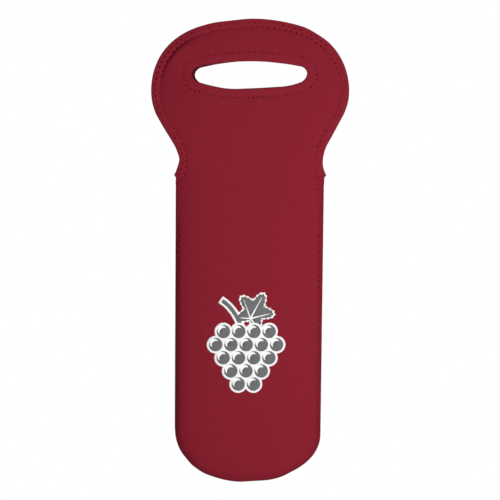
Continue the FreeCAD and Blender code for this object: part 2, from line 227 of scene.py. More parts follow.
def slot_edge(outset, shift):
    """The hand slot's edge, once round. The shift says how far its left and its right end lie to the right
    of their place, how far its top has risen, and how far its left end has dropped."""
    end = SLOT_END_RADIUS + outset
    top, top_turn = slot_bow(-SLOT_END_Z)
    low, low_turn = slot_bow(SLOT_END_Z - SLOT_LOW_Z)
    loop = np.vstack([
        arc(0, -top, top + outset, 90 + top_turn, 90 - top_turn),
        arc(SLOT_END_X, SLOT_END_Z, end, 90 - top_turn, low_turn - 90)[1:],
        arc(0, SLOT_LOW_Z + low, low + outset, low_turn - 90, -low_turn - 90)[1:],
        arc(-SLOT_END_X, SLOT_END_Z, end, 270 - low_turn, 90 + top_turn)[1:-1],
    ])
    leftness = np.clip((SLOT_END_X - loop[:, 0]) / (2 * SLOT_END_X), 0, 1)
    left_end = smooth(-loop[:, 0] / SLOT_END_X)
    height = np.clip(1 - loop[:, 1] / SLOT_LOW_Z, 0, 1)
    left_shift, right_shift, rise, drop = shift
    loop[:, 0] += right_shift + (left_shift - right_shift) * leftness
    loop[:, 1] += rise * height * (1 - left_end) - drop * left_end
    return loop


def unit(rows):
    return rows / np.linalg.norm(rows, axis=1)[:, None]


def left_of(rows):
    """Vectors turned a quarter to the left."""
    return np.column_stack([-rows[:, 1], rows[:, 0]])


def distances(points):
    """How far along a line each of its points lies."""
    return np.concatenate([[0], np.cumsum(np.linalg.norm(np.diff(points, axis=0), axis=1))])


def on_line(at, along, rows, period=None):
    """Rows at given distances along a line, from those at its points."""
    return np.column_stack([np.interp(at, along, column, period=period) for column in rows.T])


def evenly(points, step, closed=False):
    """Points at even steps along a line, and unit vectors to its left there."""
    if closed:
        points = np.vstack([points, points[:1]])
    along = distances(points)
    length = along[-1]
    at = np.linspace(0, length, round(length / step) + 1)
    behind, ahead = at - LOOK_ASIDE, at + LOOK_ASIDE
    if closed:
        at, behind, ahead = (where[:-1] % length for where in (at, behind, ahead))
    run = on_line(ahead, along, points) - on_line(behind, along, points)
    return on_line(at, along, points), left_of(unit(run))


def nearest(points, line, block=2000):
    """Distance from each point to the nearest point of a line."""
    out = [np.sqrt(((points[i:i + block, None] - line[None]) ** 2).sum(2)).min(1)
           for i in range(0, len(points), block)]
    return np.concatenate(out)


def inside(points, loop):
    """Which points lie inside a closed loop."""
    ends = np.roll(loop, -1, axis=0)
    x, z = points[:, 0, None], points[:, 1, None]
    crosses = (loop[:, 1] > z) != (ends[:, 1] > z)
    with np.errstate(divide="ignore", invalid="ignore"):
        at = loop[:, 0] + (z - loop[:, 1]) * (ends[:, 0] - loop[:, 0]) / (ends[:, 1] - loop[:, 1])
    return (crosses & (x < at)).sum(1) % 2 == 1


# Form of one sheet, as depth in front of or behind the middle plane


def half_width(z):
    """Half the width of the drawn form, which tapers down to the foot and flares out above the mouth."""
    flare = FLAP_FLARE * np.maximum(z - MOUTH_Z, 0) / FLAP_RUN
    taper = (MOUTH_HALF - BASE_HALF) * np.clip((MOUTH_Z - z) / (MOUTH_Z - BASE_Z), 0, 1)
    return MOUTH_HALF + flare - taper


def middle_depth(z):
    """Depth of the outer face on the centre line."""
    rise = np.maximum(z - BASE_Z, 0)
    top = MOUTH_Z - BASE_Z
    pouch = BELLY_DEPTH - (BELLY_DEPTH - MOUTH_DEPTH) * rise * (rise - BELLY_RUN) / (top * (top - BELLY_RUN))
    flap = MOUTH_DEPTH + (CROWN_DEPTH - MOUTH_DEPTH) * (z - MOUTH_Z) / FLAP_RUN
    return pouch + (flap - pouch) * smooth((z - MOUTH_Z + MOUTH_EASE) / (2 * MOUTH_EASE))


def ripple(x, z):
    """The slight unevenness of foam that hangs freely."""
    broad = BROAD_RIPPLE * np.sin(z / BROAD_Z + BROAD_START_Z) * np.cos(x / BROAD_X + BROAD_START_X)
    return broad + FINE_RIPPLE * np.sin(x / FINE_X + z / FINE_Z)


def seam_roll(x, z):
    """How far the face rolls over beside the seam. At the left, under the mouth, it lies flatter."""
    under = smooth((z - MOUTH_Z + FLAT_DOWN + FLAT_EASE) / (2 * FLAT_EASE))
    return ROLL + (FLAT_ROLL - ROLL) * smooth(-x / BASE_HALF) * under


def section(share, depth, arm, roll):
    """Depth of the outer face at a share of the way to the seam, which lies an arm's length off."""
    away = (1 - share) * arm
    return (depth - roll) * np.sqrt(1 - share ** ROUNDNESS) + roll * (1 - np.exp(-(away / ROLL_WIDTH) ** 2))


def sheet_depth(x, z):
    """Depth of the outer face before it is sewn."""
    arm = half_width(z)
    share = np.minimum(np.abs(x) / arm, 1)
    curl = CURL * smooth((CURL_FROM - x) / CURL_RUN) * np.exp(-((z - CURL_Z) / CURL_HEIGHT) ** 2)
    return section(share, middle_depth(z) + ripple(x, z), arm, seam_roll(x, z)) + SEAM_GAP - curl


def pinched(where):
    """How far the tight seam of the left shoulder is felt at each place."""
    return near(where, PINCH_AT, PINCH_REACH)


def edge_press(inset, where):
    """How far the edge's stitching presses the foam's face in, most of all at the left shoulder."""
    pinch = pinched(where)
    rise = EDGE_RISE * (1 - PINCH_STEEPER * pinch)
    return EDGE_PRESS * (1 + PINCH * pinch) * np.exp(-np.maximum(inset - INNER_ROW, 0) / rise)


def slot_press(outset, where):
    """How far the slot's stitching presses the foam's face in, which is the same everywhere."""
    return SLOT_PRESS * np.exp(-np.maximum(outset - SLOT_ROW, 0) / SLOT_RISE)


def puff(inset, where):
    """How far the face swells beside the tape where the seam is drawn tight."""
    away = np.maximum(inset - EDGE_TAPE_WIDTH + PUFF_UNDER, 0)
    return PUFF * pinched(where) * (1 - np.exp(-away / PUFF_RISE)) * np.exp(-away / PUFF_REACH)


def covered(inset, width):
    """How much lower the foam's face lies where a tape covers it."""
    return TAPE_ROOM * (1 - smooth((inset - width + ROOM_IN) / ROOM_EASE))


def sewn_faces(inset, where, press):
    """Depths of the foam's outer and inner face where it is sewn into a tape."""
    pressed = press(inset, where)
    outer = np.maximum(sheet_depth(*where.T) - pressed, OUTER_LEAST)
    return outer, np.maximum(outer - SHEET + 2 * pressed, INNER_LEAST)


# How the soft carrier has settled: it hangs a little askew, and its edge isn't a perfect curve
# A row holds a place, its reach, and the move there

SWAY = 0.0091
SETTLED = (
    ((-74, 6), 30, (-1.1, 0.2)),
    ((74, 6), 30, (0.5, 0.1)),
    ((-78, -55), 18, (-0.8, 0.0)),
    ((66, -80), 16, (0.9, 0.0)),
    ((-64, -92), 9, (-0.5, 0.0)),
    ((-62, -85.5), 5, (1.1, 0.0)),
    ((73, -62), 14, (0.5, 0.0)),
    ((-48, 28), 16, (0.2, -0.4)),
    ((-20, -22), 15, (0.0, -1.3)),
    ((32, -20), 10, (0.0, -0.7)),
    ((48, -16), 7, (-0.8, 0.5)),
    ((-46, -6), 11, (0.0, -1.0)),
    ((-62, -338), 12, (0.8, 0.0)),
    ((43, -354), 10, (-0.9, 0.0)),
    ((-56, -348.5), 7, (0.9, 0.0)),
    ((-37, -361), 5, (-0.9, 0.0)),
    ((37, -359.5), 6, (-0.8, 0.0)),
    ((6, -368), 11, (0.0, 1.0)),
    ((-16, 37), 13, (0.0, -0.8)),
    ((59, 24), 9, (-0.3, -0.4)),
    ((26, -2), 9, (0.0, -0.3)),
    ((43, -4), 9, (-0.6, -0.5)),
    ((-46, -18), 7, (0.5, 0.4)),
)
LEFT_FULL = 0.55
FULL_TOP = MOUTH_Z + 2.0
FULL_TOP_EASE = 6.0
FULL_FOOT = BASE_Z - 8.0
FULL_FOOT_EASE = 14.0


def settle(points):
    """Where points of the drawn shape have come to lie. The pouch is a little fuller at the left."""
    points = np.array(points, float)
    plan = points[:, [0, 2]]
    for at, reach, move in SETTLED:
        points[:, [0, 2]] += near(plan, at, reach)[:, None] * move
    x, z = plan.T
    full = smooth(-x / BASE_HALF) * smooth((FULL_TOP - z) / FULL_TOP_EASE)
    full *= smooth((z - FULL_FOOT) / FULL_FOOT_EASE)
    points[:, 0] -= SWAY * np.maximum(MOUTH_Z - z, 0) + LEFT_FULL * full
    return points


# Making meshes

WELD_DIGITS = 3
FILL_ALL = 0
FILL_INSIDE = 1


def placed(plan, depth):
    """Points from rows of x and z and signed depths."""
    return np.column_stack([plan[:, 0], depth, plan[:, 1]])


def weld(points, faces):
    """Joins points at the same place and drops faces that this closes up."""
    _, index, back = np.unique(np.round(points, WELD_DIGITS), axis=0, return_index=True, return_inverse=True)
    back = back.ravel()
    out = []
    for face in faces:
        ring = [back[i] for i in face]
        ring = [v for i, v in enumerate(ring) if v != ring[i - 1]]
        if len(set(ring)) > 2:
            out.append(ring)
    return index, out


def grid_faces(rows, columns, rows_close=False, columns_close=False):
    """Faces of a grid of points that are numbered row by row. Either way the grid can close on itself."""
    faces = []
    for row in range(rows if rows_close else rows - 1):
        a, b = row * columns, (row + 1) % rows * columns
        for column in range(columns if columns_close else columns - 1):
            after = (column + 1) % columns
            faces.append((a + column, a + after, b + after, b + column))
    return faces


def end_faces(rows, columns):
    """Faces over the first and the last row of a grid whose rows are rings."""
    return [tuple(range(columns)), tuple(range((rows - 1) * columns, rows * columns))]


def rim_edges(faces):
    """Edges that only one face uses, in that face's direction."""
    used = {}
    for face in faces:
        for a, b in zip(face, [*face[1:], face[0]]):
            key = (min(a, b), max(a, b))
            used[key] = None if key in used else (a, b)
    return [edge for edge in used.values() if edge]


def thick(faces, total):
    """Faces of a closed piece: one side, the other side on the points that follow, and the wall between."""
    other = [[i + total for i in reversed(face)] for face in faces]
    return [*faces, *other, *((b, a, a + total, b + total) for a, b in rim_edges(faces))]


def filled(loops, loose, kind, gap):
    """Points and triangles that keep to the loops and use the loose points."""
    points = []
    edges = []
    for loop in loops:
        first = len(points)
        points += [Vector(p) for p in loop]
        edges += [(first + i, first + (i + 1) % len(loop)) for i in range(len(loop))]
    points += [Vector(p) for p in loose]
    found, _, faces, *_ = delaunay_2d_cdt(points, edges, [], kind, gap)
    return np.array([tuple(p) for p in found]), np.array([tuple(f) for f in faces])


def add_object(name, data):
    made = bpy.data.objects.new(name, data)
    bpy.context.collection.objects.link(made)
    return made


def make(name, points, faces, material, flat, values=None, welded=False):
    """A piece from points in millimetres, with a flat map and named point values."""
    values = values or {}
    if welded:
        keep, faces = weld(points, faces)
        points, flat = points[keep], flat[keep]
        values = {key: value[keep] for key, value in values.items()}
    mesh = bpy.data.meshes.new(name)
    mesh.from_pydata((settle(points) * MM).tolist(), [], [[int(i) for i in face] for face in faces])
    mesh.validate()
    for key, value in values.items():
        layer = mesh.attributes.new(key, "FLOAT", "POINT")
        layer.data.foreach_set("value", np.asarray(value, np.float32))
    corners = np.zeros(len(mesh.loops), np.int32)
    mesh.loops.foreach_get("vertex_index", corners)
    layer = mesh.uv_layers.new(name="flat")
    layer.data.foreach_set("uv", (flat[corners] * MM).astype(np.float32).ravel())
    work = bmesh.new()
    work.from_mesh(mesh)
    bmesh.ops.recalc_face_normals(work, faces=work.faces)
    work.to_mesh(mesh)
    work.free()
    mesh.polygons.foreach_set("use_smooth", [True] * len(mesh.polygons))
    mesh.materials.append(material)
    piece = add_object(name, mesh)
    return piece


# The pouch as stations round its silhouette: a point is base + share * arm

STATION_STEP = 0.8
FOOT_STATIONS = 169
FACE_STEPS = 60


def pouch_stations():
    """Bases and arms from the left end of the mouth round the foot to the right end."""
    down = np.linspace(MOUTH_Z, BASE_Z, round((MOUTH_Z - BASE_Z) / STATION_STEP) + 1)
    turns = np.radians(np.linspace(180, 360, FOOT_STATIONS))[1:-1]
    heights = np.concatenate([down, np.full_like(turns, BASE_Z), down[::-1]])
    base = np.column_stack([np.zeros_like(heights), heights])
    right = np.column_stack([half_width(down), np.zeros_like(down)])
    foot = np.column_stack([BASE_HALF * np.cos(turns), BASE_HEIGHT * np.sin(turns)])
    return base, np.vstack([right * (-1, 1), foot, right[::-1]])


STATION_BASE, STATION_ARM = pouch_stations()
STATION_DEPTH = middle_depth(STATION_BASE[:, 1])

# The side seam: its holes, where they are drawn tight, and how they vary down the right side
# Its shares are looked up in the last part of an arm, in steps that shorten towards the seam
SEAM_ZONE = 0.3
SEAM_SHARES = 1 - SEAM_ZONE * np.linspace(0, 1, 200) ** 2
SEAM_ALONG = distances(STATION_BASE + STATION_ARM)
SEAM_LENGTH = SEAM_ALONG[-1]
SEAM_FIRST = 10.0
SEAM_HOLES = round((SEAM_LENGTH - 2 * SEAM_FIRST) / STITCH_PITCH)
SEAM_PITCH = (SEAM_LENGTH - 2 * SEAM_FIRST) / SEAM_HOLES
SEAM_TIGHT_FROM = 38.0
SEAM_TIGHT_TO = 225.0
SEAM_TIGHT_EASE = 12.0
SEAM_HOLE_RADIUS = 0.8
SEAM_PULL = 0.75
SEAM_UNEVEN = 0.25
SEAM_BEAT = 2.4
SEAM_PULL_MOST = 1.4
RIGHT_LOOSE = 0.4
RIGHT_WAVE = 0.3
RIGHT_TURN = 0.748
RIGHT_PEAK = 7
SEAM_GROOVE = 0.12
SEAM_GROOVE_WIDTH = 0.6
SEAM_DENT = 0.3
# How strongly painted shade darkens the seam's needle holes
SEAM_HOLE_SHADE = 0.7
SEAM_MARKS_FROM = 0.7


def seam_point(along, depth, lift=0.0):
    """The point of the pouch's outside at a distance along the seam and a signed depth."""
    base, arm = (on_line([along], SEAM_ALONG, rows)[0] for rows in (STATION_BASE, STATION_ARM))
    middle = np.interp(along, SEAM_ALONG, STATION_DEPTH)
    length = np.linalg.norm(arm)
    depths = section(SEAM_SHARES, middle, length, seam_roll(*(base + arm)))
    share = np.interp(abs(depth) - SEAM_GAP, depths, SEAM_SHARES)
    spot = base + arm * share + lift * arm / length
    return np.array([spot[0], depth, spot[1]])


def row_marks(along, inset, row, start, pitch, radius):
    """How near points are to the needle holes of a row, from 0 to 1."""
    off = (along - start + pitch / 2) % pitch - pitch / 2
    return np.exp(-(off ** 2 + (inset - row) ** 2) / radius ** 2)


def seam_marks(along, depth, side):
    """How strongly a needle hole of the seam shows at each point."""
    start = SEAM_FIRST + (0 if side == FRONT else SEAM_PITCH / 2)
    end = np.minimum(along, SEAM_LENGTH - along)
    right = along > SEAM_LENGTH / 2
    count = np.round((along - start) / SEAM_PITCH)
    first = np.where(right, RIGHT_LOOSE, 0)
    tight = first + (1 - first) * smooth((end - SEAM_TIGHT_FROM) / SEAM_TIGHT_EASE)
    tight = tight * smooth((SEAM_TIGHT_TO - end) / SEAM_TIGHT_EASE)
    wave = np.where(right, RIGHT_WAVE * (1 + np.cos(RIGHT_TURN * (SEAM_HOLES - count - RIGHT_PEAK))), 0)
    pull = np.minimum(SEAM_PULL + SEAM_UNEVEN * np.sin(SEAM_BEAT * count) + wave, SEAM_PULL_MOST)
    return row_marks(along, depth, SEAM_REACH, start, SEAM_PITCH, SEAM_HOLE_RADIUS) * tight * pull


def pouch_face(side):
    """The pouch's outer face by stations: places in the plan, depths over the seam and needle marks,
    which dent the face and set the painted shade in its holes.
    """
    turns = np.linspace(0, math.pi / 2, FACE_STEPS + 1)
    share = np.sin(turns) ** (2 / ROUNDNESS)
    plan = STATION_BASE[:, None] + share[None, :, None] * STATION_ARM[:, None]
    arms = np.linalg.norm(STATION_ARM, axis=1)[:, None]
    x, z = plan[..., 0], plan[..., 1]
    depth = section(share, STATION_DEPTH[:, None] + ripple(x, z), arms, seam_roll(x, z))
    marks = seam_marks(SEAM_ALONG[:, None], depth, side) * (share > SEAM_MARKS_FROM)
    groove = SEAM_GROOVE * np.exp(-(depth / SEAM_GROOVE_WIDTH) ** 2)
    pull = (groove + SEAM_DENT * marks) / arms
    return plan - pull[..., None] * STATION_ARM[:, None], depth, marks


# A flap: its mesh follows the tapes in rings, with an even grid in the open parts

RIM_INSET = 0.9
RIM_STEP = 2.0
RIM_ABOVE = 0.4
RIM_BESIDE = 0.1
SLOT_OUTSET = 0.7
RING_OFFSETS = (-4.5, -2, -0.62, -0.2, 0.3, 1.0, 2.0, 3.2, 4.8, 6.6)
RING_STEP = 1.5
RING_CLEAR = 1.2
RING_ABOVE = 1.0
RING_BESIDE = 0.6
FLAP_GRID = 3.0
GRID_ABOVE = 2.0
GRID_FROM_EDGE = 16.0
GRID_FROM_SLOT = 15.5
LINE_STEP = 0.5
FLAP_GAP = 1e-5
PRESS_EASE = 6.0
COVER_ABOVE = 0.3
COVER_EASE = 1.7
FLAP_INNER_LEAST = 0.25
FLAP_LEAST = 0.1
SILL_HEIGHT = 0.01


def flap_plan(side, sill):
    """Points and triangles of a flap, and the points' distances from the handle's edge and the slot's."""
    shift = SLOT_SHIFT[side]
    edge_line = evenly(handle_edge(), LINE_STEP)[0]
    slot_line = evenly(slot_edge(0, shift), LINE_STEP, True)[0]
    rim = evenly(handle_edge(RIM_INSET), RIM_STEP)[0][1:-1]
    reach = half_width(rim[:, 1]) - RIM_BESIDE
    rim[:, 0] = np.clip(rim[:, 0], -reach, reach)
    rim = rim[rim[:, 1] > MOUTH_Z + RIM_ABOVE]
    outline = np.vstack([sill, rim[::-1]])
    slot = evenly(slot_edge(SLOT_OUTSET, shift), RING_STEP, True)[0]

    rings = [evenly(handle_edge(EDGE_TAPE_WIDTH + off), RING_STEP)[0] for off in RING_OFFSETS]
    rings += [evenly(slot_edge(SLOT_TAPE_WIDTH + off, shift), RING_STEP, True)[0] for off in RING_OFFSETS]
    rings = np.vstack(rings)
    room = (nearest(rings, slot_line) > RING_CLEAR) & (rings[:, 1] > MOUTH_Z + RING_ABOVE)
    room &= np.abs(rings[:, 0]) < half_width(rings[:, 1]) - RING_BESIDE
    xs = np.arange(-WIDEST_HALF, WIDEST_HALF, FLAP_GRID)
    zs = np.arange(MOUTH_Z + GRID_ABOVE, CROWN_Z, FLAP_GRID)
    grid = np.array([(x + FLAP_GRID / 2 * (i % 2), z) for i, z in enumerate(zs) for x in xs])
    far = (nearest(grid, edge_line) > GRID_FROM_EDGE) & (nearest(grid, slot_line) > GRID_FROM_SLOT)
    loose = np.vstack([rings[room], grid[far]])
    loose = loose[inside(loose, outline) & ~inside(loose, slot)]

    flap, faces = filled([outline, slot], loose, FILL_INSIDE, FLAP_GAP)
    faces = faces[~inside(flap[faces].mean(1), slot)]
    return flap, faces, nearest(flap, edge_line), nearest(flap, slot_line)


def flap_depths(flap, inset, outset):
    """Depths of a flap's outer and inner face, so far from the handle's edge and from the slot's."""
    above = flap[:, 1] - MOUTH_Z
    press = np.maximum(edge_press(inset, flap), slot_press(outset, flap)) * smooth(above / PRESS_EASE)
    room = np.maximum(covered(inset, EDGE_TAPE_WIDTH), covered(outset, SLOT_TAPE_WIDTH))
    room *= smooth((above - COVER_ABOVE) / COVER_EASE)
    outer = sheet_depth(*flap.T) + puff(inset, flap) - press - room
    return outer, np.minimum(np.maximum(outer - SHEET + 2 * press, FLAP_INNER_LEAST), outer - FLAP_LEAST)


def pouch_depths(depth):
    """Depths of the pouch's outer and inner face, from the depth over the seam."""
    outer = depth + SEAM_GAP
    return outer, np.minimum(np.maximum(depth - SHEET, 0) + SEAM_GAP, outer)


def skin(side):
    """One sheet of foam: half of the pouch and its handle, cut in one piece."""
    plan, depth, marks = pouch_face(side)
    sill = np.vstack([plan[0, ::-1], plan[-1, 1:]])
    sill[:, 1] = MOUTH_Z
    sill_depth = np.concatenate([depth[0, ::-1], depth[-1, 1:]])
    flap, flap_faces, inset, outset = flap_plan(side, sill)
    flap_outer, flap_inner = flap_depths(flap, inset, outset)
    on_sill = flap[:, 1] < MOUTH_Z + SILL_HEIGHT
    order = np.argsort(sill[:, 0])
    flap_outer[on_sill], flap_inner[on_sill] = pouch_depths(
        np.interp(flap[on_sill, 0], sill[order, 0], sill_depth[order]))

    faces = grid_faces(*depth.shape)
    faces += [tuple(depth.size + i for i in face) for face in flap_faces]
    plan = np.vstack([plan.reshape(-1, 2), flap])
    outer, inner = pouch_depths(depth.ravel())
    outer = np.concatenate([outer, flap_outer])
    inner = np.concatenate([inner, flap_inner])
    marks = np.concatenate([marks.ravel(), np.zeros(len(flap))])
    keep, faces = weld(placed(plan, outer), faces)
    plan, outer, inner, marks = (rows[keep] for rows in (plan, outer, inner, marks))
    total = len(plan)
    points = np.vstack([placed(plan, side * outer), placed(plan, side * inner)])
    values = {
        # Painted shade in the seam's needle holes
        "hole": np.concatenate([SEAM_HOLE_SHADE * marks, np.zeros(total)]),
        # The inner face takes the lining colour, which is partly painted shade between the flaps
        "lining_shade": np.concatenate([np.zeros(total), np.ones(total)]),
    }
    name = SIDE_NAMES[side]
    piece = make(f"{name}_skin", points, thick(faces, total), JERSEY,
                 np.vstack([plan, plan]), values, welded=True)
    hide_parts(f"{name}_panel", f"{name}_flap")
    return piece


# Tape sewn round the handle and round the slot

TAPE_STEP = 0.4
FINE_STEP = 0.1
TAPE_FEATHER = 3.5
TAPE_SUNK = 0.04
TAPE_CROWN = 0.36
TAPE_CLEAR = 0.18
TAPE_LIP = 0.08
FACE_STEP = 0.4
FACE_END = 0.3
FACE_LIP = 0.25
TURN_HALF = 78
TURN_STEPS = 9
BACK_LINES = (2.4, 3.7, 5.0)
BACK_END = 0.7
HIDDEN_END = 1.0
HIDDEN_LINES = (4.0, 2.0)
HIDDEN_GAP = 0.1

# Needle holes, and how hard the thread pulls at them: a tight spot has a place, its reach and the added pull
HOLE_RADIUS = 0.5
HOLE_GROWTH = 0.25
HOLE_DENT = 0.5
# How dark the painted shade in a needle hole grows with the thread's pull
HOLE_SHADE_GAIN = 1.3
LOOSE_PULL = 0.34
LEAST_PULL = 0.05
UNEVEN_PULL = 0.2
PULL_BEAT = 2.4
QUICK_BEAT = 5.3
QUICK_SHARE = 0.6
TIGHT_SPOTS = {
    OUTER_ROW: (((-78, -4), 34, 0.95), ((48, 25), 26, 0.45), ((-60, -88), 16, 0.4)),
    INNER_ROW: (((38, 24), 36, 0.95), ((-66, 8), 20, 0.8), ((-58, -88), 16, 0.85), ((60, -69), 12, 0.3)),
    SLOT_ROW: (((-6, 8), 26, 0.35), ((55, -17), 18, 0.3), ((6, -31), 30, 0.4), ((-48, -24), 18, 0.4)),
}


def tightness(row, where, count):
    """How hard the thread of a row pulls at each hole, which is uneven round the handle."""
    wave = np.sin(PULL_BEAT * count + row) + QUICK_SHARE * np.sin(QUICK_BEAT * count + 2 * row)
    pull = LOOSE_PULL + UNEVEN_PULL * wave
    for at, reach, more in TIGHT_SPOTS[row]:
        pull += more * near(where, at, reach)
    return np.maximum(pull, LEAST_PULL)


def sewing(line, rows, closed):
    """Spots of the line and unit vectors to its left, at even steps along the middle of the sewn rows,
    then the distance sewn at each, the whole length, and the stitch's pitch."""
    fine, left = evenly(line, FINE_STEP, closed)
    if closed:
        fine, left = (np.vstack([way, way[:1]]) for way in (fine, left))
    sewn = distances(fine + left * np.mean([row for row, _ in rows]))
    length = sewn[-1]
    along = np.linspace(0, length, round(length / TAPE_STEP) + 1)
    if closed:
        along = along[:-1]
    spots, left = (on_line(along, sewn, way) for way in (fine, left))
    pitch = SLOT_PITCH if closed else STITCH_PITCH
    return spots, left, along, length, length / round(length / pitch)


def tape_lift(inset, width, height):
    """How far a tape's sewn face stands above the foam's face."""
    crown = TAPE_CROWN * height * np.sin(math.pi * inset / width)
    return height * smooth((width - inset) / TAPE_FEATHER) - TAPE_SUNK + crown


def tape_inside(inner, height):
    """Depth of a tape's inner face over the foam's."""
    return np.maximum(inner - height, TAPE_CLEAR)


def tape(name, line, width, height, rows, press, side, closed):
    """A folded tape with its sewn face outside, its turn round the edge, and its inner face."""
    spots, left, along, _, pitch = sewing(line, rows, closed)
    rings = []

    def faces_at(inset):
        where = spots + left * inset
        return where, *sewn_faces(inset, where, press)

    def add(where, depth, across, lining_shade, marks=0.0):
        values = (np.broadcast_to(value, len(along)) for value in (across, lining_shade, marks))
        rings.append((placed(where, side * depth), *values))

    face = np.arange(TAPE_TURN, width - FACE_END, FACE_STEP)
    face = np.unique([*face, width - FACE_LIP, width - TAPE_LIP, *(row for row, _ in rows)])
    for inset in face[::-1]:
        where, outer, _ = faces_at(inset)
        # Each needle hole dents the tape and is darkened with painted shade
        dent = np.zeros(len(along))
        painted_shade = np.zeros(len(along))
        for row, start in rows:
            pull = tightness(row, where, np.round(along / pitch - start))
            mark = row_marks(along, inset, row, start * pitch, pitch, HOLE_RADIUS + HOLE_GROWTH * pull)
            dent += HOLE_DENT * np.minimum(pull, 1) * mark
            painted_shade = np.maximum(painted_shade, np.minimum(HOLE_SHADE_GAIN * pull, 1) * mark)
        add(where, outer + tape_lift(inset, width, height) - dent, inset, 0.0, painted_shade)
    _, outer, inner = faces_at(TAPE_TURN)
    middle = (outer + inner) / 2
    reach = (outer - inner) / 2 + height
    # From the turn inward the tape takes the lining colour, partly painted shade between the flaps
    for turn in np.radians(np.linspace(-TURN_HALF, TURN_HALF, TURN_STEPS)):
        where = spots + left * (TAPE_TURN * (1 - math.cos(turn)))
        add(where, middle - reach * math.sin(turn), TAPE_TURN * turn, smooth(turn))
    for inset in (TAPE_TURN, *BACK_LINES, width - BACK_END, width - TAPE_LIP):
        where, _, inner = faces_at(inset)
        add(where, tape_inside(inner, height), -inset, 1.0)
    hidden = (width - HIDDEN_END, *HIDDEN_LINES)
    for inset in hidden:
        where, _, inner = faces_at(inset)
        add(where, inner + HIDDEN_GAP, -inset, 1.0)
    for inset in reversed(hidden):
        where, outer, _ = faces_at(inset)
        add(where, outer - TAPE_ROOM, inset, 0.0)

    points, across, lining_shade, marks = (np.stack(column, 1) for column in zip(*rings))
    count, ring = marks.shape
    faces = grid_faces(count, ring, closed, True)
    if not closed:
        faces += end_faces(count, ring)
    flat = np.column_stack([np.repeat(along, ring), across.ravel()])
    # Painted shade in the needle holes, and the lining colour, which is partly painted shade
    values = {"hole": marks.ravel(), "lining_shade": lining_shade.ravel()}
    return make(name, points.reshape(-1, 3), faces, TAPE_CLOTH, flat, values)


# Sewing thread

THREAD_SIDES = 6
LEG_SHARES = np.array([0.09, 0.15, 0.28, 0.5, 0.72, 0.85, 0.91])
LEG_RISE = np.array([-0.95, -0.45, -0.18, -0.14, -0.18, -0.45, -0.95])
INNER_LEG_RISE = 0.8 * LEG_RISE

# Legs over the seam
SEAM_LEG_POINTS = 11
SEAM_SINK = 0.55
SEAM_SINK_POWER = 6
SEAM_LOW = 0.1
SEAM_INSIDE = 3.0

# Bar tacks
TACK_LENGTH = 7.4
TACK_ABOVE = 2.0
TACK_OUT = 0.55
TACK_REACH = 2.6
TACK_UNEVEN = 0.18
TACK_BEAT = 5.1
TACK_THREADS = 15
TACK_POINTS = 13
TACK_SLANT = 0.28
TACK_SINK = 0.7
TACK_SINK_POWER = 8
TACK_LOW = 0.15
TACK_RADIUS = 0.3


def tube(path, normal, radius):
    """A round thread along a path that lies on a surface with the given normal."""
    path = np.asarray(path, float)
    run = unit(np.gradient(path, axis=0))
    across = unit(np.cross(run, normal))
    up = np.cross(across, run)
    turns = np.arange(THREAD_SIDES) * 2 * math.pi / THREAD_SIDES
    ring = np.cos(turns)[None, :, None] * across[:, None] + np.sin(turns)[None, :, None] * up[:, None]
    points = (path[:, None] + radius * ring).reshape(-1, 3)
    count = len(path)
    faces = grid_faces(count, THREAD_SIDES, False, True) + end_faces(count, THREAD_SIDES)
    flat = np.column_stack([np.repeat(distances(path), THREAD_SIDES), np.tile(turns * radius, count)])
    return points, faces, flat


def threads(name, legs):
    """One piece from many separate threads."""
    points, leg_faces, flats = zip(*legs)
    starts = np.cumsum([0, *map(len, points)])
    faces = [tuple(start + i for i in face) for start, leg in zip(starts, leg_faces) for face in leg]
    return make(name, np.vstack(points), faces, THREAD, np.vstack(flats))


def face_legs(line, width, height, rows, press, side, closed, inner):
    """Legs from needle hole to needle hole, on a tape's sewn face or on its inner face."""
    spots, left, along, length, pitch = sewing(line, rows, closed)
    steps = round(length / pitch) * len(rows)
    holes = []
    for step in range(steps if closed else steps - 1):
        row, start = rows[step % len(rows)]
        holes.append(((step // len(rows) + start) * pitch, row))
    pairs = list(zip(holes, holes[1:]))
    if closed:
        pairs.append((holes[-1], (holes[0][0] + length, holes[0][1])))
    period = length if closed else None
    normal = np.array([0.0, -side if inner else side, 0.0])
    legs = []
    for (a, a_row), (b, b_row) in pairs:
        at = a + (b - a) * LEG_SHARES
        inset = a_row + (b_row - a_row) * LEG_SHARES
        spot, way = (on_line(at, along, part, period) for part in (spots, left))
        where = spot + way * inset[:, None]
        outer, under = sewn_faces(inset, where, press)
        if inner:
            depth = tape_inside(under, height) - INNER_LEG_RISE
        else:
            depth = outer + tape_lift(inset, width, height) + LEG_RISE
        legs.append(tube(placed(where, side * depth), normal, THREAD_RADIUS))
    return legs


def seam_legs():
    """The zigzag that closes the sides and the foot, over the seam from sheet to sheet."""
    legs = []
    shares = np.linspace(0, 1, SEAM_LEG_POINTS)
    lifts = -SEAM_SINK * np.abs(2 * shares - 1) ** SEAM_SINK_POWER - SEAM_LOW
    for step in range(2 * SEAM_HOLES):
        start = SEAM_FIRST + step * SEAM_PITCH / 2
        way = 1 if step % 2 == 0 else -1
        depths = way * SEAM_REACH * (2 * shares - 1)
        path = [seam_point(start + share * SEAM_PITCH / 2, depth, lift)
                for share, depth, lift in zip(shares, depths, lifts)]
        normal = path[SEAM_LEG_POINTS // 2] - seam_point(start + SEAM_PITCH / 4, 0.0, -SEAM_INSIDE)
        legs.append(tube(path, normal / np.linalg.norm(normal), THREAD_RADIUS))
    return legs


